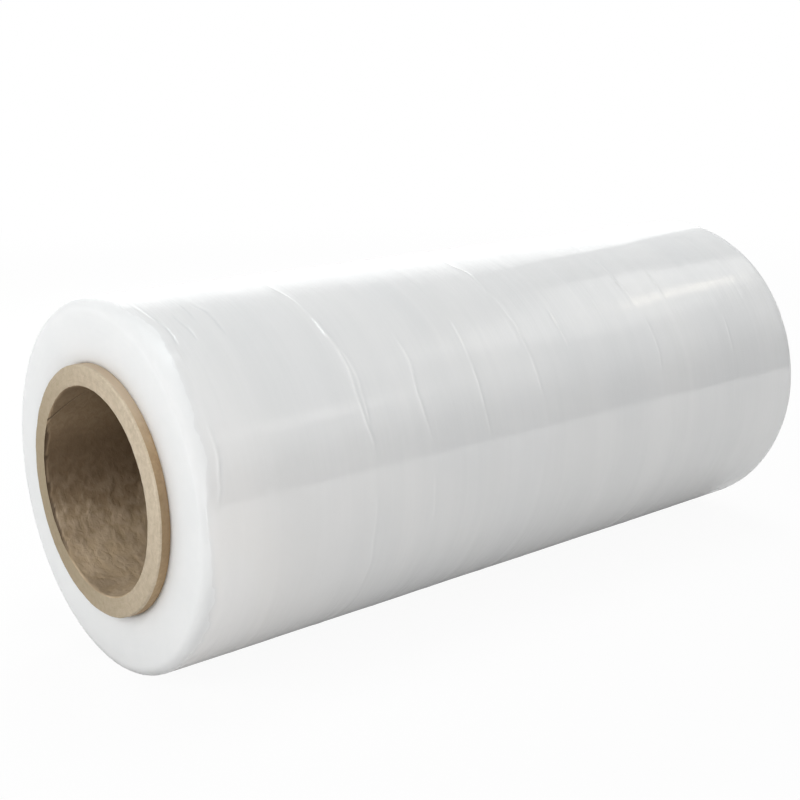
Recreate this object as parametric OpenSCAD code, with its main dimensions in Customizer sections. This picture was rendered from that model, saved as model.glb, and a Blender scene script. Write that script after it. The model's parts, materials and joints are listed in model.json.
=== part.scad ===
// A hand roll of stretch wrap on a paper tube, lying on its side.
// The roll's axis runs along X, Z is up, and the origin lies under the middle of the roll,
// on the plane that the roll rests on.

/* [Core] */
// Bore of the paper tube
core_bore_d = 76.2; // [50:0.1:80]
// Wall of the paper tube
core_wall = 8; // [5:0.5:12]
// Length of tube that stands proud of the film at each end
core_stub = 4; // [2:0.5:20]
// Rounding of the tube's outer cut edges
core_edge_r = 0.7; // [0.3:0.1:1.5]
// Bevel at the mouths of the bore
core_mouth = 0.5; // [0.2:0.1:1]
// Number of paper plies in the wall
core_plies = 9; // [4:1:12]
// Width of the glue line between two plies, on the cut ends
glue_line_w = 0.24; // [0.1:0.02:0.3]
// Depth of the glue line between two plies, on the cut ends
glue_line_d = 0.16; // [0.05:0.01:0.4]

/* [Film] */
// Diameter of the wound film
film_d = 138; // [120:1:220]
// Width of the film, along the roll
film_w = 320; // [200:5:500]
// Rounding of the film's shoulders
shoulder_r = 4; // [3:0.5:8]
// Width of the flat that the roll rests on
rest_flat_w = 14; // [12:1:20]

/* [Turns on the ends] */
// Radial width of one group of turns
turn_group_w = 1.1; // [0.8:0.05:2]
// How far a group of turns may sink below the end face
turn_group_d = 0.3; // [0.1:0.05:0.6]
// Radial width of the slope between two groups of turns
turn_slope_w = 0.1; // [0.05:0.01:0.3]
// How far the inner turns sink towards the core
end_dish = 0.5; // [0:0.1:1]

/* [Bands along the film] */
// Height of the tallest band where the turns pile up
band_h = 0.4; // [0.2:0.05:0.8]
// Width of a band, along the roll
band_w = 6; // [4:0.5:10]
// Straight steps that draw a band's swell
band_steps = 6; // [4:2:10]

/* [Hidden] */
$fn = 96;

// Bands: place along the film as a share of its width, and share of the full height
bands = [
    [0.096, 0.55], [0.218, 1.00], [0.303, 0.45], [0.393, 0.60], [0.483, 0.75],
    [0.553, 0.40], [0.708, 0.70], [0.768, 0.55], [0.863, 0.45], [0.930, 0.60]
];
// Straight steps that draw a shoulder
shoulder_steps = 6;
// Angle between one group of turns and the next in the wave that sets how far each sinks
sink_wave = 137.5;
// How far a cut runs on past the face that it opens
past = 1;

core_bore_r = core_bore_d / 2;
core_r = core_bore_r + core_wall;
core_half = film_w / 2 + core_stub;
ply_w = core_wall / core_plies;

film_r = film_d / 2;
film_half = film_w / 2;
end_face_r = film_r - shoulder_r;
turn_groups = max(2, floor((end_face_r - core_r) / turn_group_w));
turn_step = (end_face_r - core_r) / turn_groups;

// Height of the roll's axis above the plane that the flat rests on
axis_z = sqrt(pow(film_r, 2) - pow(rest_flat_w / 2, 2));

// How far group i lies below the end face: the outermost group is level with the shoulder
function group_sink(i) =
    (i == turn_groups - 1 ? 0 : turn_group_d * (0.5 + 0.5 * sin(i * sink_wave)))
    + end_dish * pow(1 - (i + 1) / turn_groups, 3);

// One end's groups of turns, from the core out to the shoulder: [radius, depth from the end]
function end_steps() = [
    for (i = [0 : turn_groups - 1], edge = [0, turn_step - turn_slope_w])
        [core_r + i * turn_step + edge, group_sink(i)]
];

// One shoulder, from the end face to the full diameter: [radius, depth from the end]
function shoulder_arc() = [
    for (i = [0 : shoulder_steps])
        let (a = 90 * i / shoulder_steps)
            [end_face_r + shoulder_r * sin(a), shoulder_r * (1 - cos(a))]
];

// One end of the film's section, drawn on the near end for -1 and on the far end for 1: [radius, x]
function end_line(side) = [
    for (p = concat(end_steps(), shoulder_arc())) [p[0], side * (film_half - p[1])]
];

// All bands, each a smooth swell, from the near end to the far end: [radius, x]
function band_line() = [
    for (b = bands, i = [0 : band_steps])
        let (t = i / band_steps - 0.5)
            [film_r + b[1] * band_h * pow(cos(180 * t), 2), (b[0] - 0.5) * film_w + t * band_w]
];

function reversed(list) = [for (i = [len(list) - 1 : -1 : 0]) list[i]];

// Turns a section drawn as [radius, x] about the roll's axis
module about_axis() {
    translate([0, 0, axis_z])
        rotate([0, 90, 0])
            rotate_extrude()
                children();
}

// The V of one glue line, cut down into the end of the wall
module glue_line() {
    side = glue_line_w / 2;
    polygon([[-side, 0], [0, -glue_line_d], [side, 0], [side, past], [-side, past]]);
}

// What is cut from the wall at the far end: the bore's bevel, the outer rounding, the glue lines
module wall_end_cuts() {
    bevel = core_mouth + past;
    polygon([
        [core_bore_r - past, core_half + past],
        [core_bore_r - past, core_half - bevel],
        [core_bore_r + bevel, core_half + past]
    ]);
    translate([core_r - core_edge_r, core_half - core_edge_r])
        difference() {
            square(core_edge_r + past);
            circle(core_edge_r);
        }
    for (i = [1 : core_plies - 1])
        translate([core_bore_r + i * ply_w, core_half])
            glue_line();
}

// The tube's wall from end to end
module wall_section() {
    difference() {
        translate([core_bore_r, -core_half])
            square([core_wall, 2 * core_half]);
        for (end = [0, 1])
            mirror([0, end])
                wall_end_cuts();
    }
}

// The paper tube, with its plies showing on the cut ends
module core() {
    color("#c3b299")
        about_axis()
            wall_section();
}

// The wound film, with the flat that it rests on
module film() {
    color("#e6e8e8")
        intersection() {
            about_axis()
                polygon(concat(end_line(-1), band_line(), reversed(end_line(1))));
            translate([-film_w, -film_d, 0])
                cube([2 * film_w, 2 * film_d, 2 * film_d]);
        }
}

core();
film();
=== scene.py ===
import json
import math
import random

import bpy
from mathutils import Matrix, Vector, noise


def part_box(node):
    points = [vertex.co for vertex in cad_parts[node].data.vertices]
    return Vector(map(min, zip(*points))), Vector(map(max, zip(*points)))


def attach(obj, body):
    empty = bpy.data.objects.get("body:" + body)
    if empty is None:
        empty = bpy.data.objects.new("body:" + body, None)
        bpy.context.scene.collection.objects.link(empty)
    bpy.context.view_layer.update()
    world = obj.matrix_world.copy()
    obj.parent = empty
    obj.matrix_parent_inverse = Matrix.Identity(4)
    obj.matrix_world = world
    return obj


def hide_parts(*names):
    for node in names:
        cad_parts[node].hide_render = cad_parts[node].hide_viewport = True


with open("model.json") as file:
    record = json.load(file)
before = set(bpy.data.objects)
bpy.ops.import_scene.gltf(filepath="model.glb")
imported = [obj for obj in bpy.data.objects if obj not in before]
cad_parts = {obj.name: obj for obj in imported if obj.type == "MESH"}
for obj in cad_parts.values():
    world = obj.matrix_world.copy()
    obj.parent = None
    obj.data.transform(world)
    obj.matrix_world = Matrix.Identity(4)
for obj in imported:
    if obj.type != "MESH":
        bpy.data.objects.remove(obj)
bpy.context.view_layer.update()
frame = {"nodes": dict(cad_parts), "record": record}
mm = 0.001

# the roll's own sizes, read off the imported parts, in millimetres
filmLow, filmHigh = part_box("film")
tubeLow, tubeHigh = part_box("core")
axisHeight = (tubeLow.z + tubeHigh.z) / 2 / mm
tubeRadius = (tubeHigh.z - tubeLow.z) / 2 / mm
tubeLength = (tubeHigh.x - tubeLow.x) / mm
tubeStart = tubeLow.x / mm
boreRadius = next(m["dims"]["r_mm"] for m in frame["record"]["mounts"] if m["kind"] == "bore")
filmWidth = (filmHigh.x - filmLow.x) / mm
filmStart = filmLow.x / mm
print("frame loaded, nodes:", ", ".join(sorted(frame["nodes"])))


def smoothStep(low, high, value):
    t = min(max((value - low) / (high - low), 0.0), 1.0)
    return t * t * (3 - 2 * t)


def onRoll(x, radius, angle):
    # millimetres along and out from the roll's axis, to a point in the scene
    a = math.radians(angle)
    return Vector((x, -radius * math.cos(a), axisHeight + radius * math.sin(a))) * mm


def skinNoise(x, radius, angle, grainAlong, grainAround, seed):
    # smooth noise on the roll that closes on itself; grains in millimetres
    a = math.radians(angle)
    return noise.noise(Vector((x / grainAlong + seed,
                               radius * math.cos(a) / grainAround,
                               radius * math.sin(a) / grainAround - seed)))


def waves(x, radius, angle, rows):
    # a row is one wave: height, grain along, grain around, seed
    total = 0.0
    for height, grainAlong, grainAround, seed in rows:
        total += height * skinNoise(x, radius, angle, grainAlong, grainAround, seed)
    return total


# camera: where the photograph was taken from
cameraSetup = {
    "azimuth": -39.795,
    "elevation": 15.008,
    "target": (-0.0215, 0.0, 0.07825),
    "distance": 0.5722,
    "lens": 61.416,
    "sensor": 36.0,
    "clipStart": 0.01,
}


def makeCamera(setup):
    azimuth = math.radians(setup["azimuth"])
    elevation = math.radians(setup["elevation"])
    back = Vector((math.sin(azimuth) * math.cos(elevation),
                   -math.cos(azimuth) * math.cos(elevation),
                   math.sin(elevation)))
    data = bpy.data.cameras.new("camera")
    data.lens = setup["lens"]
    data.sensor_width = setup["sensor"]
    data.clip_start = setup["clipStart"]
    camera = bpy.data.objects.new("camera", data)
    camera.location = Vector(setup["target"]) + back * setup["distance"]
    camera.rotation_euler = back.to_track_quat("Z", "Y").to_euler()
    bpy.context.scene.collection.objects.link(camera)
    bpy.context.scene.camera = camera


makeCamera(cameraSetup)
bpy.context.scene.view_settings.view_transform = "Standard"
print("camera placed")


# node helpers, shared by all the finishes
def plug(tree, socket, value):
    if isinstance(value, bpy.types.NodeSocket):
        tree.links.new(value, socket)
    else:
        socket.default_value = value


def calc(tree, operation, a, b=0.0):
    node = tree.nodes.new("ShaderNodeMath")
    node.operation = operation
    plug(tree, node.inputs[0], a)
    plug(tree, node.inputs[1], b)
    return node.outputs[0]


def lengthOf(tree, a, b):
    # how long a line is that runs by a and, at a right angle to it, by b
    squares = calc(tree, "ADD", calc(tree, "MULTIPLY", a, a), calc(tree, "MULTIPLY", b, b))
    return calc(tree, "SQRT", squares)


def pointOn(tree):
    # the point on the piece, in metres
    return tree.nodes.new("ShaderNodeTexCoord").outputs["Object"]


def pointParts(tree):
    node = tree.nodes.new("ShaderNodeSeparateXYZ")
    tree.links.new(pointOn(tree), node.inputs[0])
    return node.outputs


def aboveAxis(tree):
    return calc(tree, "SUBTRACT", pointParts(tree)["Z"], axisHeight * mm)


def grain(tree, scale, detail=3.0, roughness=0.5, distortion=0.0):
    # noise with so many grains to a metre along each axis
    scaled = tree.nodes.new("ShaderNodeVectorMath")
    scaled.operation = "MULTIPLY"
    tree.links.new(pointOn(tree), scaled.inputs[0])
    scaled.inputs[1].default_value = scale
    node = tree.nodes.new("ShaderNodeTexNoise")
    tree.links.new(scaled.outputs[0], node.inputs["Vector"])
    node.inputs["Scale"].default_value = 1.0
    node.inputs["Detail"].default_value = detail
    node.inputs["Roughness"].default_value = roughness
    node.inputs["Distortion"].default_value = distortion
    return node.outputs["Fac"]


def spread(tree, value, low, high, toLow=0.0, toHigh=1.0):
    # goes smoothly from toLow, where the value is low, to toHigh, where it is high
    node = tree.nodes.new("ShaderNodeMapRange")
    node.interpolation_type = "SMOOTHSTEP"
    plug(tree, node.inputs["Value"], value)
    names = ("From Min", "From Max", "To Min", "To Max")
    for name, number in zip(names, (low, high, toLow, toHigh)):
        node.inputs[name].default_value = number
    return node.outputs["Result"]


def tint(tree, factor, colourA, colourB):
    node = tree.nodes.new("ShaderNodeMix")
    node.data_type = "RGBA"
    plug(tree, node.inputs["Factor"], factor)
    for socket, colour in ((node.inputs[6], colourA), (node.inputs[7], colourB)):
        plug(tree, socket, colour if isinstance(colour, bpy.types.NodeSocket) else (*colour, 1.0))
    return node.outputs[2]


def mark(tree, name, share=1.0):
    # a mark that the piece's points carry, times a share
    node = tree.nodes.new("ShaderNodeAttribute")
    node.attribute_name = name
    return calc(tree, "MULTIPLY", node.outputs["Fac"], share)


def tintMarked(tree, colour, row):
    # a row is the mark, the tint's share where the mark is 1, and the tint's colour
    name, share, tintColour = row
    return tint(tree, mark(tree, name, share), colour, tintColour)


def relief(tree, height, depth, under=None):
    # depth in metres; under is the relief that this one lies on
    node = tree.nodes.new("ShaderNodeBump")
    node.inputs["Strength"].default_value = 1.0
    node.inputs["Distance"].default_value = depth
    tree.links.new(height, node.inputs["Height"])
    if under:
        tree.links.new(under, node.inputs["Normal"])
    return node.outputs["Normal"]


def finishCalled(name):
    material = bpy.data.materials.new(name)
    material.use_nodes = True
    tree = material.node_tree
    return material, tree, tree.nodes["Principled BSDF"]


def seenDirectly(tree):
    # 1 for camera, glossy and transmission rays, which take in the white studio
    path = tree.nodes.new("ShaderNodeLightPath")
    seen = calc(tree, "MAXIMUM", path.outputs["Is Camera Ray"], path.outputs["Is Glossy Ray"])
    return calc(tree, "MAXIMUM", seen, path.outputs["Is Transmission Ray"])


# studio: white world, pale floor, softboxes, and two cards that only the gloss sees
studio = {
    "ambient": 0.315,
    "ambientColour": (0.985, 0.995, 1.0),
    "floorColour": (0.40, 0.40, 0.40),  # what the floor throws back on the roll
    "floorSeen": (0.90, 0.90, 0.90),
    "floorRoughness": 0.9,
    "floorSize": 60.0,
    "floorGlow": 0.94,  # near the roll; further out the floor goes over into the white
    "glowFrom": 0.5,
    "glowTo": 1.15,
    # what the gloss sees of the glow right under the roll, and how far that reaches
    "contactLeast": 0.06,
    "contactReach": 0.17,
    "softboxes": {
        # place, aims at, width, height, power, colour
        "keyBehind": ((0.28, 0.60, 0.48), (0.06, 0.0, 0.10), 0.45, 0.35, 2.8, (0.99, 1.0, 1.0)),
        "overHead": ((0.10, 0.02, 1.40), (0.0, 0.0, 0.10), 0.60, 0.60, 4.95, (0.955, 0.985, 1.0)),
        "fillLeft": ((-0.85, -0.02, 0.37), (-0.15, 0.0, 0.07), 0.5, 0.5, 3.6, (1.0, 0.998, 0.99)),
        "boxRight": ((1.23, -0.31, 1.10), (0.0, 0.0, 0.10), 0.85, 0.42, 1.15, (1.0, 0.99, 0.96)),
        "lampRight": ((1.008, -0.262, 0.844), (0.08, 0.0, 0.11), 0.13, 0.06, 0.07,
                      (1.0, 0.90, 0.70)),
        "boxLow": ((1.03, -1.38, 1.04), (-0.12, 0.0, 0.08), 0.34, 0.24, 0.22, (1.0, 0.98, 0.95)),
        "lowFront": ((-0.30, -1.20, 0.06), (-0.05, 0.0, 0.04), 1.2, 0.10, 5.7, (1.0, 0.99, 0.98)),
    },
    # these show in the gloss; the others light the roll but leave no glint on it
    "mirrored": ("overHead", "boxRight", "lampRight", "boxLow"),
    "cards": {
        # foot's two ends, height of the even part, full height, colours of the foot and the top,
        # strength
        "greyCard": ((0.10, -1.35), (1.45, -0.25), 0.20, 0.66,
                     (0.03, 0.035, 0.05), (0.90, 0.91, 0.92), 1.0),
        "whiteCard": ((1.42, 0.84), (0.30, 1.96), 0.95, 1.55,
                      (1.0, 1.0, 1.0), (0.55, 0.55, 0.55), 1.9),
    },
}


def makeWorld(setup):
    world = bpy.data.worlds.new("studioWorld")
    world.use_nodes = True
    tree = world.node_tree
    tree.nodes.clear()
    ambient = tree.nodes.new("ShaderNodeBackground")
    ambient.inputs["Color"].default_value = (*setup["ambientColour"], 1.0)
    ambient.inputs["Strength"].default_value = setup["ambient"]
    white = tree.nodes.new("ShaderNodeBackground")
    white.inputs["Color"].default_value = (1.0, 1.0, 1.0, 1.0)
    white.inputs["Strength"].default_value = 1.0
    mixed = tree.nodes.new("ShaderNodeMixShader")
    tree.links.new(seenDirectly(tree), mixed.inputs["Fac"])
    tree.links.new(ambient.outputs[0], mixed.inputs[1])
    tree.links.new(white.outputs[0], mixed.inputs[2])
    out = tree.nodes.new("ShaderNodeOutputWorld")
    tree.links.new(mixed.outputs[0], out.inputs["Surface"])
    bpy.context.scene.world = world


def flatPanel(name, corners, material):
    mesh = bpy.data.meshes.new(name)
    mesh.from_pydata(corners, [], [(0, 1, 2, 3)])
    mesh.materials.append(material)
    panel = bpy.data.objects.new(name, mesh)
    bpy.context.scene.collection.objects.link(panel)
    return panel


def makeFloor(setup):
    material, tree, shader = finishCalled("paleFloor")
    shader.inputs["Roughness"].default_value = setup["floorRoughness"]
    shader.inputs["Specular IOR Level"].default_value = 0.0
    seen = seenDirectly(tree)
    plug(tree, shader.inputs["Base Color"],
         tint(tree, seen, setup["floorColour"], setup["floorSeen"]))
    place = pointParts(tree)
    away = lengthOf(tree, place["X"], place["Y"])
    glowShare = spread(tree, away, setup["glowFrom"], setup["glowTo"], setup["floorGlow"], 1.0)
    # in the gloss under the roll the floor is dark towards the line where they touch
    beyond = calc(tree, "SUBTRACT", calc(tree, "ABSOLUTE", place["X"]), filmWidth * mm / 2)
    beyond = calc(tree, "MAXIMUM", beyond, 0.0)
    lit = spread(tree, lengthOf(tree, beyond, place["Y"]), 0.0, setup["contactReach"],
                 setup["contactLeast"], 1.0)
    inGloss = tree.nodes.new("ShaderNodeLightPath").outputs["Is Glossy Ray"]
    lit = calc(tree, "MAXIMUM", lit, calc(tree, "SUBTRACT", 1.0, inGloss))
    glowShare = calc(tree, "MULTIPLY", glowShare, lit)
    glow = tree.nodes.new("ShaderNodeEmission")
    glow.inputs["Strength"].default_value = 1.0
    mixed = tree.nodes.new("ShaderNodeMixShader")
    tree.links.new(calc(tree, "MULTIPLY", seen, glowShare), mixed.inputs["Fac"])
    tree.links.new(shader.outputs[0], mixed.inputs[1])
    tree.links.new(glow.outputs[0], mixed.inputs[2])
    tree.links.new(mixed.outputs[0], tree.nodes["Material Output"].inputs["Surface"])
    half = setup["floorSize"] / 2
    corners = [(-half, -half, 0), (half, -half, 0), (half, half, 0), (-half, half, 0)]
    flatPanel("floor", corners, material)


def makeCard(name, start, end, even, top, footColour, topColour, strength):
    # only the gloss sees a card: the grey one darkens the side above the floor's edge,
    # the white one lights the top where the film is seen at a low angle
    material, tree, shader = finishCalled(name)
    glow = tree.nodes.new("ShaderNodeEmission")
    glow.inputs["Strength"].default_value = strength
    rise = spread(tree, pointParts(tree)["Z"], even, top)
    plug(tree, glow.inputs["Color"], tint(tree, rise, footColour, topColour))
    tree.links.new(glow.outputs[0], tree.nodes["Material Output"].inputs["Surface"])
    tree.nodes.remove(shader)
    (x0, y0), (x1, y1) = start, end
    card = flatPanel(name, [(x0, y0, 0), (x1, y1, 0), (x1, y1, top), (x0, y0, top)], material)
    card.visible_camera = False
    card.visible_diffuse = False
    card.visible_transmission = False
    card.visible_shadow = False


def makeSoftbox(setup, name, place, aim, width, height, power, colour):
    data = bpy.data.lights.new(name, "AREA")
    data.shape = "RECTANGLE"
    data.size = width
    data.size_y = height
    data.energy = power
    data.color = colour
    lamp = bpy.data.objects.new(name, data)
    lamp.location = place
    lamp.rotation_euler = (Vector(place) - Vector(aim)).to_track_quat("Z", "Y").to_euler()
    lamp.visible_glossy = name in setup["mirrored"]
    bpy.context.scene.collection.objects.link(lamp)


makeWorld(studio)
makeFloor(studio)
for cardName, card in studio["cards"].items():
    makeCard(cardName, *card)
for softboxName, softbox in studio["softboxes"].items():
    makeSoftbox(studio, softboxName, *softbox)
print("studio lit")


def turnedPiece(name, stations, angles, pointAt, markNames, finishes):
    # sweeps a closed ring of stations round the axis; a station ends with the number of its finish
    points = []
    marks = [[] for _ in markNames]
    for station in stations:
        for angle in angles:
            point, values = pointAt(station, angle)
            points.append(point)
            for row, value in zip(marks, values):
                row.append(value)
    around = len(angles)
    faces = []
    slots = []
    for s, station in enumerate(stations):
        here = s * around
        there = (s + 1) % len(stations) * around
        for a in range(around):
            b = (a + 1) % around
            faces.append((here + a, there + a, there + b, here + b))
            slots.append(station[-1])
    mesh = bpy.data.meshes.new(name)
    mesh.from_pydata(points, [], faces)
    for finish in finishes:
        mesh.materials.append(finish)
    mesh.polygons.foreach_set("material_index", slots)
    mesh.polygons.foreach_set("use_smooth", [True] * len(faces))
    for markName, row in zip(markNames, marks):
        mesh.attributes.new(markName, "FLOAT", "POINT").data.foreach_set("value", row)
    mesh.update()
    piece = bpy.data.objects.new(name, mesh)
    bpy.context.scene.collection.objects.link(piece)
    print(name, "made:", 2 * len(faces), "triangles")
    return piece


# wound film: all lengths in millimetres, places measured from the film's near edge;
# waves are rows of height, grain along, grain around and seed
filmSetup = {
    "seed": 11,
    "radius": 69.0,
    "shoulder": 4.0,
    "shoulderSteps": 8,
    "turnGroups": 15,
    "groupSink": 0.03,
    "groupSlope": 0.50,
    "endDish": 0.5,
    "holeGap": 0.04,  # between the film's hole and the tube
    "holeRows": 12,
    "anglesAround": 288,
    "columnGap": 3.0,
    "fineGap": 0.42,
    # the skin, with its bands and pleats
    "skinBlend": 0.5,  # short of the radius, where the skin's own waves are full
    "skinWaves": ((0.20, 46, 30, 1.3), (0.05, 15, 14, 8.1)),
    "bandHeight": 0.10,
    "bandWidth": 6.0,
    "ridgeWidth": 0.48,
    "ridgeEnds": (0.22, 0.28),  # shares of a ridge's run over which it rises and sinks
    "trough": (0.30, 1.1, 0.8),  # share of the ridge's height, distance from it, width
    "pleatReach": (11.0, 12.0),  # how far a pleat shifts the skin, and how far it is looked for
    "pleatFade": (4.0, 30.0),  # degrees past its path in which a pleat falls in with the weave
    "pleatWeave": (0.6, 2.0, 9.0),  # height, waves round the roll, degrees of lag a millimetre
    "pleatMean": 0.75,
    "pleatWaves": ((0.5, 40, 3.5, 4.7),),
    # the last turn's edge, on the shoulder
    "lastTurnAt": 3.0,  # its mean distance from the end
    "lastTurnWaves": ((2.0, 30, 22, 2.2), (1.3, 30, 5.5, 6.4), (0.8, 30, 2.2, 4.1)),
    "lastTurnStep": 0.07,
    "lastTurnSlope": 0.8,
    "crinkleWaves": ((0.10, 2.6, 7, 3.9),),
    "crinkleReach": (6.0, 15.0),  # from the end, full and none
    # the ends
    "endBlend": (6.0, 2.0),  # below the radius, where the ends' waves go out
    "endDepth": 2.0,
    "endWave": (0.14, 20, 17, 5.0),
    "endRipple": ((0.05, 20, 2.2, 9.0),),
    # marks: where each look comes in
    "sideBlend": (-1.0, 3.0),  # from the last turn's edge
    "pleatWhite": 0.22,
    "pleatDark": 0.16,
    # painted light: a glow by each end, painted into the film's colour where the side is dim
    "dimBelow": (-0.75, 0.95),  # sine of the angle, from dim to lit
    "nearGlow": (1.75, 27.0),  # strength, and how fast it dies away from the end
    "farGlow": (20.0, 0.15),  # how fast it dies away, and its least share
    "tubeShows": 2.6,
    "shoulderBlend": 2.4,
    "shoulderReach": (7.0, 1.0),  # from the end, none and full
    # noises of the look: grains to a metre along each axis, detail, roughness, distortion
    "grains": {
        "cloud": ((22, 16, 16), 3.0),
        "streak": ((900, 9, 9), 3.0, 0.6),
        "hair": ((3200, 30, 30), 2.0, 0.6),
        "runs": ((75, 4, 4), 4.0, 0.65),
        "endCloud": ((90, 90, 90), 3.0),
        "gloss": ((60, 34, 34), 4.0, 0.6),
        "lines": ((125, 24, 24), 2.0),
        "slack": ((120, 70, 70), 2.0, 0.5, 0.3),
        "dimples": ((310, 240, 240), 1.0),
    },
    # colours laid over one another: noise, its low and high, share of the colour there, colour
    "bodyColour": (0.802, 0.807, 0.810),
    "bodyLayers": (
        ("cloud", 0.3, 0.7, 1.0, (0.841, 0.842, 0.839)),
        ("streak", 0.35, 0.7, 0.15, (0.86, 0.865, 0.86)),
        # runs of turns differ a little in how milky they are
        ("runs", 0.36, 0.64, 0.19, (0.705, 0.718, 0.718)),
    ),
    "bodyMarks": (
        # painted light: paler and warmer near the near end, and paler by the far end
        ("nearEnd", 1.0, (0.995, 0.972, 0.948)),
        ("farEnd", 0.45, (0.93, 0.93, 0.925)),
        # a gathered ridge is whiter than the film beside it, partly as a painted highlight along
        # it; a groove is painted shade, darker and bluer
        ("ridge", 0.75, (0.96, 0.96, 0.955)),
        ("groove", 0.50, (0.60, 0.625, 0.64)),
    ),
    "endColour": (0.864, 0.875, 0.878),
    "endLayers": (("endCloud", 0.3, 0.7, 1.0, (0.884, 0.892, 0.894)),),
    # the innermost turns are tinted brown: partly the tube showing through them, partly painted
    # shade and a painted warm reflection of the tube
    "endMark": ("byTube", 0.05, (0.62, 0.55, 0.47)),
    # painted shade: the rounded edge is painted darker, to tone down its highlight
    "shoulderMark": ("onShoulder", 0.65, (0.745, 0.752, 0.752)),
    "sideRoughness": (0.3, 0.72, 0.07, 0.15),
    "endRoughness": 0.42,
    "ior": 1.58,
    "subsurface": 0.6,
    "subsurfaceScale": 0.012,  # metres
    # reliefs from the lowest up: noise, depth in metres, whether it stays off the ends
    "reliefs": (
        ("streak", 0.00005, True),
        ("hair", 0.00001, True),
        ("lines", 0.00011, True),
        ("slack", 0.00008, False),
        ("dimples", 0.000022, False),
    ),
    # the side away from the camera gets pleats of the same kind, at the same bands
    "hiddenRidges": {
        "counts": (1, 2, 2, 3),
        "from": (112, 262),
        "span": (14, 46),
        "height": (0.12, 0.34),
        "shift": (-0.6, 0.6),
    },
}
filmMarks = ("side", "ridge", "groove", "nearEnd", "farEnd", "byTube", "onShoulder")

# pleats and the bands they sit on: place, height of band as a share, half the width of fine
# columns, the pleat's path as angle and shift, then its ridges as lowest angle, highest angle,
# height (below zero for a groove), sideways shift
pleats = [
    (8.0, 0.0, 3.4, [(76, 0.8), (63, 2.7), (30, 0.2), (23, 0.6), (15, -0.8), (9, -2.7)],
     [(8, 33, 0.22, 0.0), (66, 84, 0.12, 0.0), (56, 73, -0.15, 1.1)]),
    (18.6, 0.0, 2.0, [(68, -0.6), (61, 0.7)], [(57, 72, -0.12, 0.0)]),
    (29.9, 0.55, 2.2, [(74, -1.1), (69, 1.0), (61, 1.0)], [(57, 78, -0.17, 0.0)]),
    (69.6, 1.0, 4.6,
     [(80, -4.2), (66, -2.3), (56, -1.1), (46, 0.0), (38, 0.1), (31, -0.4), (23, 0.0),
      (16, 1.4), (9, 1.8), (4, 0.7), (-13, 0.4), (-23, 1.8), (-34, 1.5)],
     [(10, 62, 0.29, 0.0), (50, 84, 0.12, 0.0), (19, 49, 0.22, 2.5), (-37, 6, 0.09, 0.0)]),
    (96.9, 0.45, 2.4,
     [(46, -0.3), (38, 0.2), (28, -1.2), (23, -0.8), (10, 1.0), (-1, 0.6), (-11, 1.1)],
     [(11, 50, 0.19, 0.0), (-15, 5, 0.07, 0.0)]),
    (125.7, 0.6, 2.2, [(48, -0.3), (38, -0.6), (21, -0.3), (8, 0.6)], [(7, 53, 0.19, 0.0)]),
    (154.6, 0.75, 2.6,
     [(76, -2.6), (69, -0.5), (59, -1.7), (52, -0.8), (43, 0.5), (21, 1.4), (15, 2.5)],
     [(54, 82, 0.16, 0.0), (16, 51, 0.19, 0.0)]),
    (177.0, 0.4, 2.0, [(43, -0.4), (35, 0.4)], [(32, 47, 0.24, 0.0)]),
    (226.3, 0.7, 2.2, [(63, -1.7), (55, -1.8), (47, -0.6), (35, 1.4), (25, 1.9), (18, 0.9)],
     [(45, 68, 0.16, 0.0), (16, 38, 0.16, 0.0)]),
    (245.8, 0.55, 2.2, [(54, 0.3), (44, -0.3)], [(41, 58, 0.17, 0.0)]),
    (276.5, 0.45, 2.0, [(30, 0.1), (21, -0.2)], [(17, 34, 0.13, 0.0)]),
    (297.6, 0.6, 2.0, [], []),
    (24.3, 0.0, 1.8, [], [(65, 76, -0.11, 0.0)]),
]


def addHiddenRidges(pleatRows, setup, seed):
    rng = random.Random(seed)
    for *_, ridges in pleatRows:
        for _ in range(rng.choice(setup["counts"])):
            low = rng.uniform(*setup["from"])
            high = low + rng.uniform(*setup["span"])
            ridges.append((low, high, rng.uniform(*setup["height"]), rng.uniform(*setup["shift"])))


def pleatShift(place, path, angle):
    # how far a pleat strays from its place, fading to a slow weave off its measured stretch
    angle = (angle + 90) % 360 - 90
    height, turns, apart = filmSetup["pleatWeave"]
    weave = height * math.sin(math.radians(angle * turns + place * apart))
    if not path:
        return weave
    fadeStart, fadeEnd = filmSetup["pleatFade"]
    (first, firstShift), (last, lastShift) = path[0], path[-1]
    fade = 1.0
    if angle >= first:
        shift = firstShift
        fade = smoothStep(first + fadeEnd, first + fadeStart, angle)
    elif angle <= last:
        shift = lastShift
        fade = smoothStep(last - fadeEnd, last - fadeStart, angle)
    else:
        for (highAngle, highShift), (lowAngle, lowShift) in zip(path, path[1:]):
            if lowAngle <= angle:
                shift = lowShift + (highShift - lowShift) * smoothStep(lowAngle, highAngle, angle)
                break
    return weave + (shift - weave) * fade


def ridgeHeight(away, ridge, angle, setup):
    # a narrow gathered ridge with a shallow trough beside it, running out at both ends
    low, high, height, aside = ridge
    t = ((angle - low) % 360) / (high - low)
    if t >= 1:
        return 0.0
    rise, sink = setup["ridgeEnds"]
    taper = smoothStep(0.0, rise, t) * smoothStep(1.0, 1.0 - sink, t)
    d = away - aside * (0.3 + 0.7 * math.sin(math.pi * t))
    share, beside, width = setup["trough"]
    trough = share * math.exp(-((d - beside) / width) ** 2)
    return height * taper * (math.exp(-(d / setup["ridgeWidth"]) ** 2) - trough)


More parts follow.
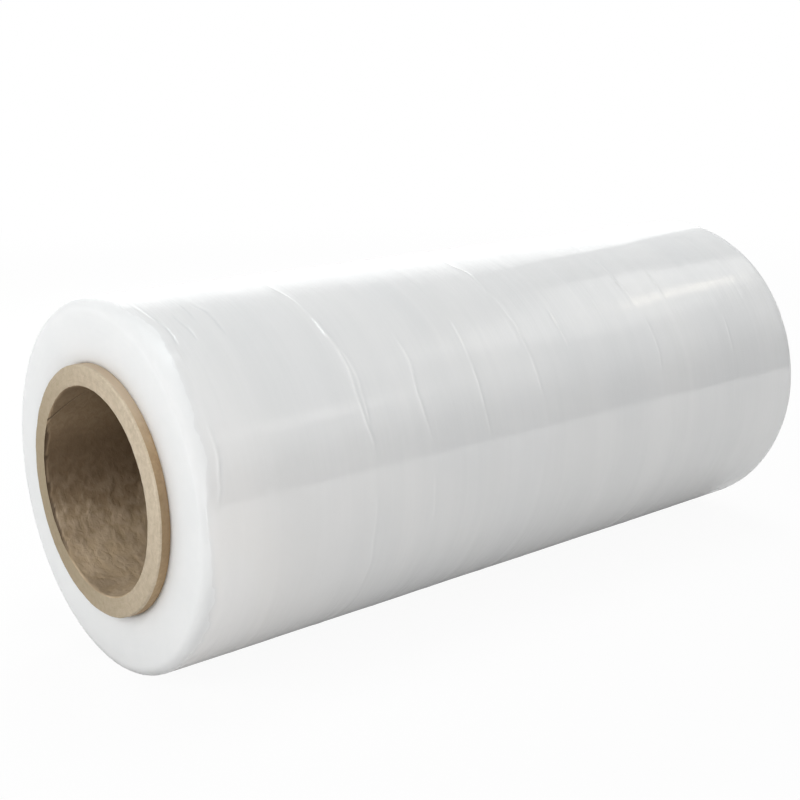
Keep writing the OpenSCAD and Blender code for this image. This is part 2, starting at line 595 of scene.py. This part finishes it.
def filmColumns(setup):
    # even columns along the film, with fine ones where the pleats run
    spots = [(place, reach) for place, _, reach, _, _ in pleats]
    columns = []
    x = setup["shoulder"]
    end = filmWidth - setup["shoulder"]
    while x < end - 0.5:
        near = any(abs(x - place) < reach for place, reach in spots)
        columns.append(x)
        x += setup["fineGap"] if near else setup["columnGap"]
        if not near:
            ahead = [place - reach for place, reach in spots if place - reach > columns[-1]]
            if ahead and x > min(ahead):
                x = min(ahead) + 0.001
    columns.append(end)
    return columns


def filmEnd(setup, rng):
    # one end from the tube out to the top of the shoulder: depth below the end, radius
    foot = setup["radius"] - setup["shoulder"]
    groups = setup["turnGroups"]
    step = (foot - tubeRadius) / groups
    slope = setup["groupSlope"] / 2
    end = []
    for i in range(groups):
        sink = rng.uniform(0, setup["groupSink"]) if i < groups - 1 else 0.0
        sink += setup["endDish"] * (1 - (i + 1) / groups) ** 3
        inner = tubeRadius + i * step + (setup["holeGap"] if i == 0 else slope)
        end += [(sink, inner), (sink, tubeRadius + (i + 1) * step - slope)]
    for i in range(setup["shoulderSteps"]):
        a = math.radians(90 * i / setup["shoulderSteps"])
        end.append((setup["shoulder"] * (1 - math.cos(a)),
                    setup["radius"] - setup["shoulder"] * (1 - math.sin(a))))
    return end


def filmStations(setup, rng):
    # near end, body, far end back in, and the hole: x, radius, finish
    nearEnd, farEnd = filmEnd(setup, rng), filmEnd(setup, rng)
    rows = setup["holeRows"]
    stations = [(depth, radius, 0) for depth, radius in nearEnd]
    stations += [(x, setup["radius"], 0) for x in filmColumns(setup)]
    stations += [(filmWidth - depth, radius, 0) for depth, radius in reversed(farEnd)]
    hole = tubeRadius + setup["holeGap"]
    stations += [(filmWidth * (1 - i / rows), hole, 0) for i in range(1, rows)]
    return stations


def pleatedSkin(x, radius, angle, setup):
    # where the pleats take a point of the skin, how high the bands lift it, how high the pleats do
    fromEnd = min(x, filmWidth - x)
    shiftReach, lookReach = setup["pleatReach"]
    shifted = x
    band = 0.0
    pleat = 0.0
    for place, share, reach, path, ridges in pleats:
        d = abs(x - place)
        if d > lookReach:
            continue
        shift = pleatShift(place, path, angle)
        held = (1 - smoothStep(reach, shiftReach, d)) * smoothStep(0, setup["shoulder"], fromEnd)
        shifted += shift * held
        for ridge in ridges:
            pleat += ridgeHeight(shifted - place - shift, ridge, angle, setup)
        t = (x - place) / setup["bandWidth"]
        if abs(t) < 0.5:
            band += share * setup["bandHeight"] * math.cos(math.pi * t) ** 2
    pleat *= setup["pleatMean"] + waves(shifted, radius, angle, setup["pleatWaves"])
    return shifted, band, pleat


def filmPoint(station, angle):
    # a point of the film, and its marks in the order of filmMarks
    setup = filmSetup
    x, radius = station[:2]
    fromEnd = min(x, filmWidth - x)
    foot = setup["radius"] - setup["shoulder"]
    onSkin = smoothStep(foot, setup["radius"] - setup["skinBlend"], radius)
    # the last turn stops short of the end, on the shoulder, in a crinkled edge
    edge = setup["lastTurnAt"] + waves(0.0, setup["radius"], angle, setup["lastTurnWaves"])
    height = 0.0
    pleat = 0.0
    if onSkin > 0:
        slope = setup["lastTurnSlope"]
        x, height, pleat = pleatedSkin(x, radius, angle, setup)
        height += waves(x, radius, angle, setup["skinWaves"])
        height += setup["lastTurnStep"] * (smoothStep(edge - slope, edge + slope, fromEnd) - 1)
        crinkle = waves(x, radius, angle, setup["crinkleWaves"])
        height += crinkle * (1 - smoothStep(*setup["crinkleReach"], fromEnd))
        height *= onSkin
    blendFrom, blendTo = setup["endBlend"]
    onEnd = 1 - smoothStep(setup["radius"] - blendFrom, setup["radius"] - blendTo, radius)
    if onEnd > 0 and fromEnd < setup["endDepth"]:
        dentHeight, along, around, seed = setup["endWave"]
        dent = dentHeight * skinNoise(0.0, radius, angle, along, around, seed + x / filmWidth)
        dent += waves(0.0, radius, angle, setup["endRipple"])
        x += dent * onEnd * (1 if x < filmWidth / 2 else -1)
    point = onRoll(filmStart + x, radius + height + pleat * onSkin, angle)
    point.z = max(point.z, 0.0)
    sideFrom, sideTo = setup["sideBlend"]
    side = smoothStep(edge + sideFrom, edge + sideTo, fromEnd) * onSkin
    # a ridge is painted whiter, partly as a highlight, and a groove gets painted shade
    ridge = min(max(pleat, 0.0) / setup["pleatWhite"], 1.0)
    groove = min(max(-pleat, 0.0) / setup["pleatDark"], 1.0)
    # painted light: near the ends the film is painted paler, most below, where the side is dim, as
    # light that comes in by the end
    below = 1.0 - smoothStep(*setup["dimBelow"], math.sin(math.radians(angle)))
    strength, fading = setup["nearGlow"]
    nearEnd = min(1.0, strength * math.exp(-fromEnd / fading)) * below * (x < filmWidth / 2)
    fading, least = setup["farGlow"]
    farEnd = math.exp(-fromEnd / fading) * (x > filmWidth / 2) * onSkin
    farEnd *= least + (1 - least) * below
    # the tube showing through, together with painted shade and reflection next to it
    byTube = math.exp(-(radius - tubeRadius) / setup["tubeShows"])
    # painted shade over the rounded edge, where its highlight is too bright
    onShoulder = smoothStep(foot, foot + setup["shoulderBlend"], radius)
    onShoulder *= smoothStep(*setup["shoulderReach"], fromEnd)
    return point, (side, ridge, groove, nearEnd, farEnd, byTube, onShoulder)


def layered(tree, grains, colour, layers):
    # colours laid over one another where a noise runs high
    for name, low, high, share, layerColour in layers:
        colour = tint(tree, spread(tree, grains[name], low, high, 0.0, share), colour, layerColour)
    return colour


def makeFilmFinish(setup):
    # pale, cloudy and glossy along the side, milky on the cut ends
    material, tree, shader = finishCalled("woundFilm")
    side = mark(tree, "side")
    grains = {name: grain(tree, *row) for name, row in setup["grains"].items()}
    body = layered(tree, grains, setup["bodyColour"], setup["bodyLayers"])
    for row in setup["bodyMarks"]:
        body = tintMarked(tree, body, row)
    ends = layered(tree, grains, setup["endColour"], setup["endLayers"])
    ends = tintMarked(tree, ends, setup["endMark"])
    colour = tintMarked(tree, tint(tree, side, ends, body), setup["shoulderMark"])
    plug(tree, shader.inputs["Base Color"], colour)
    rough = tree.nodes.new("ShaderNodeMix")
    plug(tree, rough.inputs[0], side)
    rough.inputs[2].default_value = setup["endRoughness"]
    plug(tree, rough.inputs[3], spread(tree, grains["gloss"], *setup["sideRoughness"]))
    plug(tree, shader.inputs["Roughness"], rough.outputs[0])
    shader.inputs["IOR"].default_value = setup["ior"]
    shader.inputs["Subsurface Weight"].default_value = setup["subsurface"]
    shader.inputs["Subsurface Radius"].default_value = (1.0, 1.0, 1.0)
    shader.inputs["Subsurface Scale"].default_value = setup["subsurfaceScale"]
    # turns lie a little uneven: long fine lines round the roll, and a slack skin over them
    normal = None
    for name, depth, sideOnly in setup["reliefs"]:
        height = calc(tree, "MULTIPLY", grains[name], side) if sideOnly else grains[name]
        normal = relief(tree, height, depth, normal)
    plug(tree, shader.inputs["Normal"], normal)
    return material


addHiddenRidges(pleats, filmSetup["hiddenRidges"], filmSetup["seed"])
filmAngles = [360 * i / filmSetup["anglesAround"] for i in range(filmSetup["anglesAround"])]
filmRows = filmStations(filmSetup, random.Random(filmSetup["seed"]))
woundFilm = turnedPiece("wound_film", filmRows, filmAngles, filmPoint, filmMarks,
                        [makeFilmFinish(filmSetup)])
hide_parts("film")
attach(woundFilm, "root")


# paper tube: all lengths in millimetres, places measured from the tube's near rim;
# waves are rows of height, grain along, grain around and seed
tubeSetup = {
    "plies": 9,
    "glueWidth": 0.15,
    "glueDepth": 0.06,
    "edgeRound": 0.7,
    "edgeSteps": 4,
    "mouthBevel": 0.5,
    "bevelSlope": 0.8,
    "stub": 4.0,
    "stubRows": 7,
    "hiddenRows": 24,  # under the film
    "bevelMiddle": 0.45,
    "mouthRows": (0.9, 1.3, 1.8),
    "boreRows": (2.4, 2.0),  # where even rows start, and how far from the far rim they stop
    "boreGap": (1.3, 2.2),  # near the mouths, and deep inside
    "boreFine": (90, 12),  # how far the fine rows reach from the near and from the far mouth
    "anglesAround": 276,
    "fineAngles": (-1.8, -1.45, -1.1, -0.75, -0.4, 0.0, 0.4, 0.75, 1.1, 1.45, 1.8),
    "fineReach": 2.3,
    "twist": -2.23,
    # the bore's wall, its seam and the torn edge of its innermost ply
    "boreWaves": ((0.16, 7, 7, 1.7), (0.07, 2.6, 2.6, 4.4)),
    "seamAngle": 149.8,
    "seamEdges": (0.36, 0.90),
    "seamDepth": 0.6,
    "seamLip": (0.10, 0.4, 4, 12),  # height, half the step's width, where it fades from and to
    "tornFrom": (150, 158),  # degrees over which the torn stretch starts, and ends
    "tornTo": (245, 218),
    "tornLeast": 0.12,
    "tornReach": 1.2,
    "tornSlope": (0.7, 0.25),  # starts at this share of the reach, and ends this far past it
    "tornWaves": ((0.8, 30, 4.2, 7.7), (0.9, 30, 1.3, 2.7)),
    "tornDepth": 0.5,
    "tornShade": 0.9,
    # the outside
    "outerSeamAngle": 118.0,
    "outerSeamDepth": 0.16,
    "outerSeamEdges": (0.15, 0.5),
    "outerSink": 0.05,
    "outerWaves": ((0.05, 3, 3, 3.1),),
    "nickWaves": ((1.0, 30, 4, 5.5),),
    "outerNick": 0.22,
    "nickReach": (0.8, 2.2),
    # the cut ends
    "endApart": 9,  # keeps the noises of the two ends apart
    "fuzzWaves": ((0.10, 20, 3.5, 2.9), (0.06, 36, 1.1, 6.1)),
    "fuzzSink": 0.02,
    "crushWaves": ((1.0, 6, 9, 8.8),),
    "crushDepth": 0.20,
    "crushApart": 40,  # from the bore's edge of the cut to its outer one
    "rimWaves": ((0.05, 60, 1.8, 1.1),),
    "rimShare": 0.95,  # of the wall, beyond which the cut belongs to the rounded edge
    "rimSink": 0.03,
    "rimNick": 0.25,
    "wornTowards": 152,  # degrees, the other way round
    # looks: noises as for the film; a tint is two values, its share at each, and its colour,
    # and the values are a noise's, or heights in metres from the axis
    "fibres": ((500, 420, 420), 4.0, 0.65, 0.6),
    "fibreEdges": (0.28, 0.74),
    "bore": {
        "fibreColours": ((0.30, 0.215, 0.135), (0.38, 0.285, 0.185)),
        "blotches": ((250, 210, 210), 1.6, 0.5, 0.25),
        "patches": ((45, 50, 50), 3.0, 0.5, 0.3),
        # painted light: the lower wall is painted paler, and the pale blotches come in only there
        "blotched": (0.012, -0.014),  # heights between which the blotches come in
        "below": ((-0.012, -0.035, 0.0, 0.80), (0.70, 0.55, 0.365)),
        "blotchTint": ((0.38, 0.64, 0.0, 0.55), (0.66, 0.53, 0.385)),
        "patchTint": ((0.42, 0.66, 0.0, 0.40), (0.22, 0.15, 0.09)),
        # painted shade: the wall is painted dark at the height of the axis, on both sides
        "middle": ((0.004, 0.020, 0.62, 0.0), (0.13, 0.085, 0.048)),
        # the seam's dark joint, and painted shade along the torn edge
        "seamMark": ("seam", 0.85, (0.075, 0.05, 0.032)),
        "blotchDepth": 0.0006,
        "fibreDepth": 0.0002,
        "roughness": 0.85,
        "specular": 0.25,
    },
    "cut": {
        "fibreColours": ((0.525, 0.44, 0.325), (0.685, 0.585, 0.455)),
        "wobble": ((160, 160, 160), 3.0),
        "wobbleDepth": 0.0005,
        "glueEdges": (0.70, 1.0),
        "plyTint": (0.28, (0.68, 0.575, 0.44)),
        "wornMark": ("worn", 0.76, (0.31, 0.245, 0.155)),
        "patches": ((70, 70, 70), 3.0),
        "glueTint": ((0.45, 0.72, 0.02, 0.38), (0.30, 0.225, 0.15)),
        "fibreDepth": 0.00035,
        "roughness": 0.85,
        "specular": 0.25,
    },
    "outside": {
        "fibreColours": ((0.345, 0.238, 0.135), (0.45, 0.319, 0.185)),
        "streaks": ((240, 60, 60), 3.0, 0.6, 0.5),
        "streakTint": ((0.45, 0.75, 0.0, 0.45), (0.50, 0.39, 0.27)),
        # painted light and shade: paler on top and darker down the sides
        "above": ((0.024, 0.041, 0.0, 0.85), (0.59, 0.475, 0.35)),
        "middle": ((0.008, 0.024, 0.5, 0.0), (0.22, 0.148, 0.080)),
        "seamMark": ("seam", 0.7, (0.25, 0.17, 0.10)),
        "fibreDepth": 0.00018,
        "roughness": 0.7,
        "specular": 0.35,
    },
}
tubeMarks = ("seam", "worn")
boreFace, cutFace, outerFace = range(3)  # in the order of the tube's finishes


def tubeAngles(setup):
    # even rows with fine ones at the two seams, measured at the near rim
    seams = (setup["seamAngle"], setup["outerSeamAngle"])
    rows = [360 * i / setup["anglesAround"] for i in range(setup["anglesAround"])]
    rows = [row for row in rows if all(abs(row - seam) > setup["fineReach"] for seam in seams)]
    rows += [seam + offset for seam in seams for offset in setup["fineAngles"]]
    return sorted(rows)


def cutProfile(setup):
    # one cut end from the bore outwards: depth below the rim, radius
    plies = setup["plies"]
    ply = (tubeRadius - boreRadius) / plies
    cut = []
    for i in range(plies):
        inner = boreRadius + i * ply + (setup["mouthBevel"] if i == 0 else 0)
        outer = boreRadius + (i + 1) * ply
        if i:
            cut += [(setup["glueDepth"], inner), (0.0, inner + setup["glueWidth"])]
        else:
            cut.append((0.0, inner))
        if i < plies - 1:
            cut += [(0.0, (inner + outer) / 2), (0.0, outer - setup["glueWidth"])]
    for i in range(setup["edgeSteps"] + 1):
        a = math.radians(90 * i / setup["edgeSteps"])
        cut.append((setup["edgeRound"] * (1 - math.cos(a)),
                    tubeRadius - setup["edgeRound"] * (1 - math.sin(a))))
    return cut


def borePlaces(setup):
    # rows along the bore, from the near mouth to the far one, finer near both
    x, stopShort = setup["boreRows"]
    fineGap, gap = setup["boreGap"]
    nearFine, farFine = setup["boreFine"]
    bevel = setup["mouthBevel"]
    bevelRows = [bevel * setup["bevelMiddle"], bevel]
    places = bevelRows + list(setup["mouthRows"])
    while x < tubeLength - stopShort:
        places.append(x)
        x += gap if nearFine <= x < tubeLength - farFine else fineGap
    return places + [tubeLength - row for row in reversed(bevelRows)]


def tubeStations(setup):
    # near cut, outside, far cut, and the bore back again: x, radius, twist of the row, face
    twist = setup["twist"]
    stub = setup["stub"]
    hidden = setup["hiddenRows"]
    # under the film the rows run the shortest way from one stub's twist to the other's
    hiddenTwist = math.remainder(twist * tubeLength - 2 * twist * stub, 360)
    cut = cutProfile(setup)
    edgeRound = setup["edgeRound"]
    stubRows = setup["stubRows"]
    stubPlaces = [(stub - edgeRound) * i / stubRows for i in range(stubRows + 1)]
    stations = [(depth, radius, twist * depth, cutFace) for depth, radius in cut]
    for place in stubPlaces[1:]:
        x = edgeRound + place
        stations.append((x, tubeRadius, twist * x, outerFace))
    for i in range(1, hidden):
        x = stub + (tubeLength - 2 * stub) * i / hidden
        stations.append((x, tubeRadius, twist * stub + hiddenTwist * i / hidden, outerFace))
    for place in stubPlaces:
        x = tubeLength - stub + place
        stations.append((x, tubeRadius, twist * x, outerFace))
    for depth, radius in reversed(cut):
        x = tubeLength - depth
        stations.append((x, radius, twist * x, cutFace))
    stations += [(x, boreRadius, twist * x, boreFace) for x in reversed(borePlaces(setup))]
    return stations


def borePoint(x, radius, angle, here, setup):
    # how far the bore's wall lies out, and how dark the seam is there, or the painted shade in the
    # tear
    fromRim = min(x, tubeLength - x)
    away = math.radians(angle - setup["seamAngle"]) * boreRadius
    seam = 1 - smoothStep(*setup["seamEdges"], abs(away))
    out = setup["seamDepth"] * seam + waves(x, radius, here, setup["boreWaves"])
    # one ply's edge stands a little higher than its neighbour's
    height, half, fadeFrom, fadeTo = setup["seamLip"]
    lip = height * (smoothStep(-half, half, away) - 0.5)
    out += lip * (1 - smoothStep(fadeFrom, fadeTo, abs(away)))
    # the innermost ply is torn back round part of the mouth
    torn = smoothStep(*setup["tornFrom"], here % 360) * smoothStep(*setup["tornTo"], here % 360)
    reach = setup["tornReach"] + waves(0.0, radius, here, setup["tornWaves"])
    share, past = setup["tornSlope"]
    # painted shade: the torn step is painted dark, a little all round the mouth and most where it
    # is torn
    tear = max(torn, setup["tornLeast"])
    tear *= 1 - smoothStep(reach * share, reach + past, fromRim)
    out += setup["tornDepth"] * tear
    out += max(0.0, setup["mouthBevel"] - fromRim) * setup["bevelSlope"]
    return out, max(seam, setup["tornShade"] * tear)


def outerPoint(x, radius, angle, here, setup):
    # how far the outside lies out, and whether the seam shows there
    fromRim = min(x, tubeLength - x)
    away = math.radians(angle - setup["outerSeamAngle"]) * tubeRadius
    seam = (1 - smoothStep(*setup["outerSeamEdges"], abs(away))) * (fromRim < setup["stub"] + 1)
    nick = max(0.0, waves(0.0, radius, here, setup["nickWaves"]))
    out = -setup["outerSeamDepth"] * seam
    out -= setup["outerSink"] + waves(x, radius, here, setup["outerWaves"])
    out -= setup["outerNick"] * nick * (1 - smoothStep(*setup["nickReach"], fromRim))
    return out, seam


def cutPoint(radius, here, inward, setup):
    # how far a point of the cut lies in from the rim, and how far out
    share = (radius - boreRadius) / (tubeRadius - boreRadius)
    end = inward * setup["endApart"]
    fuzz = waves(end, radius, here, setup["fuzzWaves"])
    # here and there a ply is crushed below its neighbours
    crush = max(0.0, waves(share * setup["crushApart"], radius, here, setup["crushWaves"]))
    depth = setup["fuzzSink"] + fuzz + setup["crushDepth"] * crush
    out = waves(end, radius, here, setup["rimWaves"])
    if share > setup["rimShare"]:
        nick = max(0.0, waves(0.0, radius, here, setup["nickWaves"]))
        out = min(out, 0.0) - setup["rimSink"] - setup["rimNick"] * nick
    return depth, out


def tubePoint(station, angle):
    # a point of the tube, and its marks in the order of tubeMarks
    setup = tubeSetup
    x, radius, twist, face = station
    here = angle + twist
    seam = 0.0
    if face == boreFace:
        out, seam = borePoint(x, radius, angle, here, setup)
    elif face == outerFace:
        out, seam = outerPoint(x, radius, angle, here, setup)
    else:
        inward = 1 if x < tubeLength / 2 else -1
        depth, out = cutPoint(radius, here, inward, setup)
        x += inward * depth
    # the cut is darker towards the back and below
    worn = 0.5 + 0.5 * math.cos(math.radians(here + setup["wornTowards"]))
    return onRoll(tubeStart + x, radius + out, here), (seam, worn)


def paperCalled(name, look):
    # a paper finish: material, node tree, shader, colour with the fibres in it, and the fibres
    material, tree, shader = finishCalled(name)
    shader.inputs["Roughness"].default_value = look["roughness"]
    shader.inputs["Specular IOR Level"].default_value = look["specular"]
    fibres = grain(tree, *tubeSetup["fibres"])
    fibrous = spread(tree, fibres, *tubeSetup["fibreEdges"])
    colour = tint(tree, fibrous, *look["fibreColours"])
    return material, tree, shader, colour, fibres


def tintSpread(tree, colour, value, row):
    # a row is two values with the tint's share at each, and the tint's colour
    spreading, tintColour = row
    return tint(tree, spread(tree, value, *spreading), colour, tintColour)


def makeBoreFinish(look):
    # rough inner ply: soft mottles, painted light on the lower wall and painted shade at its
    # sides, dark in the seam, painted shade along the torn edge
    material, tree, shader, colour, fibres = paperCalled("boreWall", look)
    blotches = grain(tree, *look["blotches"])
    up = aboveAxis(tree)
    # painted light: the lower wall is painted paler, and the pale blotches come in only there
    low = spread(tree, up, *look["blotched"])
    colour = tintSpread(tree, colour, up, look["below"])
    spreading, blotchColour = look["blotchTint"]
    pale = calc(tree, "MULTIPLY", spread(tree, blotches, *spreading), low)
    colour = tint(tree, pale, colour, blotchColour)
    colour = tintSpread(tree, colour, grain(tree, *look["patches"]), look["patchTint"])
    # painted shade: the middle of the wall is painted dark on both sides
    colour = tintSpread(tree, colour, calc(tree, "ABSOLUTE", up), look["middle"])
    plug(tree, shader.inputs["Base Color"], tintMarked(tree, colour, look["seamMark"]))
    coarse = relief(tree, calc(tree, "MULTIPLY", blotches, low), look["blotchDepth"])
    plug(tree, shader.inputs["Normal"], relief(tree, fibres, look["fibreDepth"], coarse))
    return material


def makeCutFinish(look):
    # sawn end: plies in rings, a shade apart, with glue between them
    material, tree, shader, colour, fibres = paperCalled("cutPaper", look)
    radius = lengthOf(tree, pointParts(tree)["Y"], aboveAxis(tree))
    uneven = calc(tree, "SUBTRACT", grain(tree, *look["wobble"]), 0.5)
    radius = calc(tree, "ADD", radius, calc(tree, "MULTIPLY", uneven, look["wobbleDepth"]))
    ply = (tubeRadius - boreRadius) / tubeSetup["plies"]
    turns = calc(tree, "DIVIDE", calc(tree, "SUBTRACT", radius, boreRadius * mm), ply * mm)
    fromMiddle = calc(tree, "ABSOLUTE", calc(tree, "SUBTRACT", calc(tree, "FRACT", turns), 0.5))
    glue = spread(tree, calc(tree, "MULTIPLY", fromMiddle, 2.0), *look["glueEdges"])
    shade = tree.nodes.new("ShaderNodeTexWhiteNoise")
    shade.noise_dimensions = "1D"
    tree.links.new(calc(tree, "FLOOR", turns), shade.inputs["W"])
    share, plyColour = look["plyTint"]
    colour = tint(tree, calc(tree, "MULTIPLY", shade.outputs["Value"], share), colour, plyColour)
    colour = tintMarked(tree, colour, look["wornMark"])
    spreading, glueColour = look["glueTint"]
    patchy = spread(tree, grain(tree, *look["patches"]), *spreading)
    colour = tint(tree, calc(tree, "MULTIPLY", glue, patchy), colour, glueColour)
    plug(tree, shader.inputs["Base Color"], colour)
    plug(tree, shader.inputs["Normal"], relief(tree, fibres, look["fibreDepth"]))
    return material


def makeOutsideFinish(look):
    # smoother kraft ply, painted paler on top and darker down the sides, with faint streaks that
    # follow the winding
    material, tree, shader, colour, fibres = paperCalled("tubeOutside", look)
    colour = tintSpread(tree, colour, grain(tree, *look["streaks"]), look["streakTint"])
    # painted light and shade: paler on top and darker down the sides
    up = aboveAxis(tree)
    colour = tintSpread(tree, colour, up, look["above"])
    colour = tintSpread(tree, colour, calc(tree, "ABSOLUTE", up), look["middle"])
    plug(tree, shader.inputs["Base Color"], tintMarked(tree, colour, look["seamMark"]))
    plug(tree, shader.inputs["Normal"], relief(tree, fibres, look["fibreDepth"]))
    return material


tubeFinishes = [makeBoreFinish(tubeSetup["bore"]), makeCutFinish(tubeSetup["cut"]),
                makeOutsideFinish(tubeSetup["outside"])]
paperTube = turnedPiece("paper_tube", tubeStations(tubeSetup), tubeAngles(tubeSetup), tubePoint,
                        tubeMarks, tubeFinishes)
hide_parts("core")
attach(paperTube, "root")
